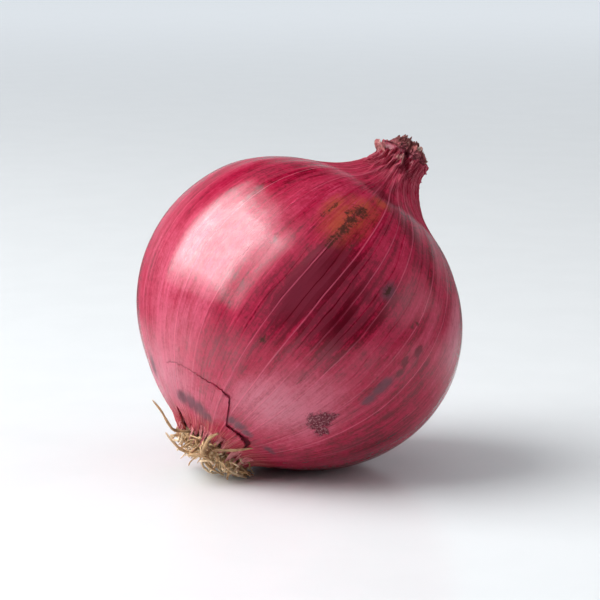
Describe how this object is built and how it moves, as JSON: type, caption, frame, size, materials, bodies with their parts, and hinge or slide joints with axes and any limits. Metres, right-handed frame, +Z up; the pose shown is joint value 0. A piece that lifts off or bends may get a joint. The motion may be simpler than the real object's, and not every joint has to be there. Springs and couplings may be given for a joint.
{
  "type": "red onion",
  "caption": "Whole red onion with a glossy papery skin, dried root tuft and withered neck, lying tipped on a small flat spot.",
  "frame": {"origin": "middle of the small flat spot that the onion lies on", "axes": "+Z up from the surface it lies on; the onion's axis leans 38 degrees from upright and its neck points towards +X"},
  "size_m": [0.0777, 0.0804, 0.0808],
  "materials": {
    "flesh": "satin",
    "papery_skin": "gloss",
    "cork": "matte",
    "dry_root": "matte",
    "dried_leaf": "matte"
  },
  "bodies": {
    "root": {"bulb": "flesh", "outer_skin": "papery_skin", "root_plate": "cork", "root_01": "dry_root", "root_02": "dry_root", "root_03": "dry_root", "root_04": "dry_root", "root_05": "dry_root", "root_06": "dry_root", "root_07": "dry_root", "root_08": "dry_root", "root_09": "dry_root", "root_10": "dry_root", "root_11": "dry_root", "root_12": "dry_root", "root_13": "dry_root", "root_14": "dry_root", "root_15": "dry_root", "root_16": "dry_root", "root_17": "dry_root", "root_18": "dry_root", "root_19": "dry_root", "root_20": "dry_root", "root_21": "dry_root", "root_22": "dry_root", "root_23": "dry_root", "root_24": "dry_root", "root_25": "dry_root", "root_26": "dry_root", "root_27": "dry_root", "root_28": "dry_root", "root_29": "dry_root", "root_30": "dry_root", "neck_leaf_1": "dried_leaf", "neck_leaf_2": "dried_leaf", "neck_leaf_3": "dried_leaf", "neck_leaf_4": "dried_leaf", "neck_leaf_5": "dried_leaf", "neck_leaf_6": "dried_leaf", "neck_leaf_7": "dried_leaf"}
  },
  "joints": []
}
